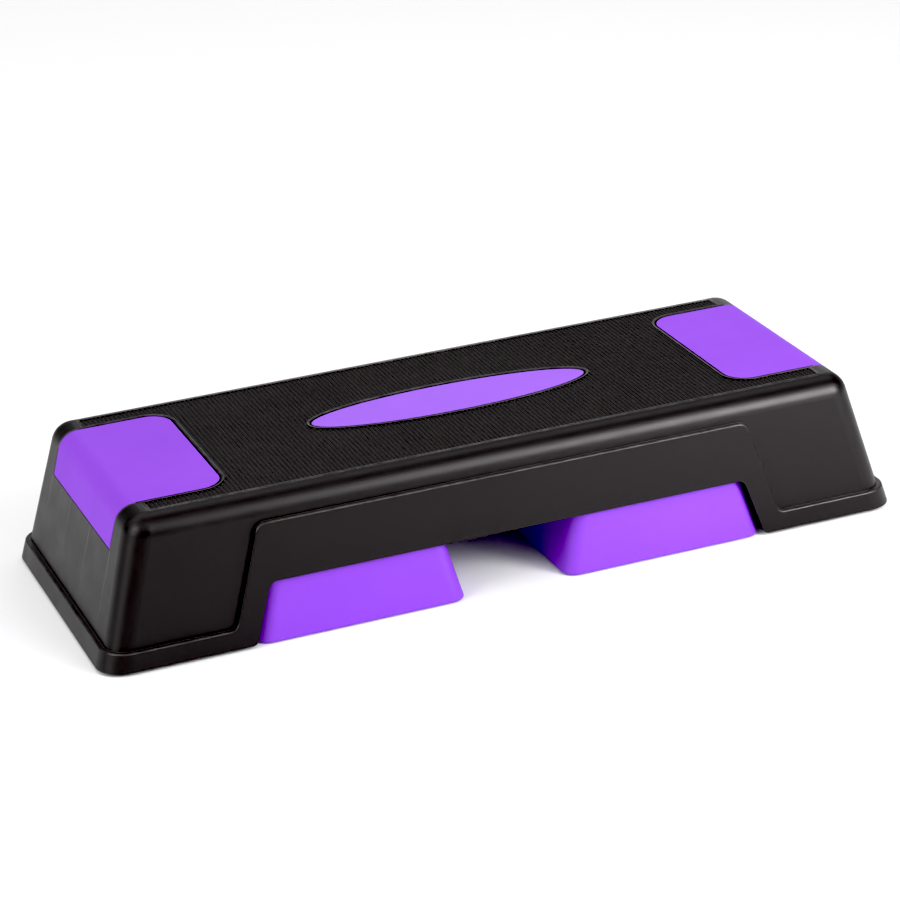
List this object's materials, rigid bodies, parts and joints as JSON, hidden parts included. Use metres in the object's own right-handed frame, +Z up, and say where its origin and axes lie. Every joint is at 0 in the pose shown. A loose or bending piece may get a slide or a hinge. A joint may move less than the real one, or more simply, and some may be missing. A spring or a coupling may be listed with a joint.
{
  "type": "aerobic step platform",
  "caption": "Low rectangular aerobic step with a ribbed non-slip tread, coloured end caps and badge plate, and plug-in riser blocks under the deck that lift it to a higher setting.",
  "frame": {"origin": "on the floor, below the centre of the deck", "axes": "+X along the deck, +Y across it away from the picture's camera, +Z up"},
  "size_m": [0.68, 0.262, 0.118],
  "materials": {
    "deck_plastic": "satin moulded black",
    "trim_plastic": "satin moulded purple",
    "riser_plastic": "satin moulded purple",
    "mat_rubber": "ribbed black",
    "foot_rubber": "matt black",
    "steel": "zinc plated"
  },
  "bodies": {
    "deck": {"deck_shell": "deck_plastic", "tread_mat": "mat_rubber", "badge_plate": "trim_plastic", "badge_push_nuts": "steel", "deck_foot_front_left": "foot_rubber", "deck_foot_front_right": "foot_rubber", "deck_foot_rear_left": "foot_rubber", "deck_foot_rear_right": "foot_rubber", "end_cap_left": "trim_plastic", "end_cap_right": "trim_plastic", "end_cap_screws_left": "steel", "end_cap_screws_right": "steel"},
    "riser_left": {"riser_left": "riser_plastic", "riser_foot_left_front_outer": "foot_rubber", "riser_foot_left_front_inner": "foot_rubber", "riser_foot_left_rear_outer": "foot_rubber", "riser_foot_left_rear_inner": "foot_rubber"},
    "riser_right": {"riser_right": "riser_plastic", "riser_foot_right_front_outer": "foot_rubber", "riser_foot_right_front_inner": "foot_rubber", "riser_foot_right_rear_outer": "foot_rubber", "riser_foot_right_rear_inner": "foot_rubber"}
  },
  "joints": [
    {"name": "riser_left_slide", "type": "slide", "parent": "deck", "child": "riser_left", "axis": [0, 0, -1], "range_m": [0, 0.05]},
    {"name": "riser_right_slide", "type": "slide", "parent": "deck", "child": "riser_right", "axis": [0, 0, -1], "range_m": [0, 0.05]}
  ]
}
